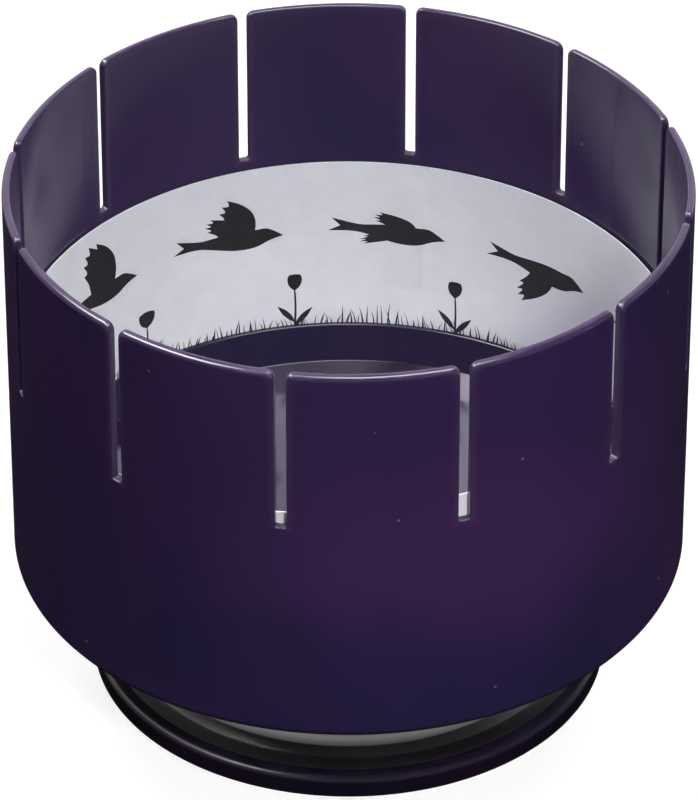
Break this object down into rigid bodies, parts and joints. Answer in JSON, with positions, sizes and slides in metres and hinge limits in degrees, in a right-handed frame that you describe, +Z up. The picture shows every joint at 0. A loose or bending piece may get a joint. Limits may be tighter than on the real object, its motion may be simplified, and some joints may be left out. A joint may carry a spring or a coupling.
{
  "type": "zoetrope",
  "caption": "Slotted drum that spins freely on a weighted pedestal foot, with a removable picture strip standing inside the drum wall.",
  "frame": {"origin": "on the spin axis, in the plane of the four rubber feet on which the zoetrope stands", "axes": "+Z up along the spin axis; -Y towards the viewer at the front; +X to the viewer's right"},
  "size_m": [0.18, 0.18, 0.1495],
  "materials": {
    "drum_plastic": "glossy moulded, deep purple",
    "strip_paper": "matt card, light grey-white with a dark print",
    "hub_plastic": "moulded, dark grey",
    "screw_steel": "zinc plated",
    "bush_bronze": "sintered bronze, oily",
    "cap_plastic": "glossy moulded, black-purple",
    "spindle_steel": "ground",
    "washer_nylon": "natural nylon",
    "clip_steel": "blackened spring steel",
    "foot_plastic": "glossy moulded, black-purple",
    "cover_plastic": "fine textured moulding, dark grey",
    "ballast_steel": "turned, lightly oiled",
    "foot_rubber": "matt black"
  },
  "bodies": {
    "stand": {"foot_body": "foot_plastic", "bottom_cover": "cover_plastic", "cover_screws": "screw_steel", "ballast_ring": "ballast_steel", "ballast_screws": "screw_steel", "rubber_foot_front_right": "foot_rubber", "rubber_foot_back_right": "foot_rubber", "rubber_foot_back_left": "foot_rubber", "rubber_foot_front_left": "foot_rubber", "spindle": "spindle_steel", "spindle_washer": "screw_steel", "spindle_nut": "screw_steel", "thrust_washer": "washer_nylon", "clip_washer": "screw_steel", "retaining_clip": "clip_steel"},
    "drum": {"drum": "drum_plastic", "hub": "hub_plastic", "hub_screws": "screw_steel", "upper_bush": "bush_bronze", "lower_bush": "bush_bronze", "hub_cap": "cap_plastic"},
    "strip": {"picture_strip": "strip_paper"}
  },
  "joints": [
    {"name": "drum_spin", "type": "hinge", "parent": "stand", "child": "drum", "pos_m": [0, 0, 0.0335], "axis": [0, 0, 1], "continuous": true},
    {"name": "strip_lift", "type": "slide", "parent": "drum", "child": "strip", "axis": [0, 0, 1], "range_m": [0, 0.12]}
  ]
}
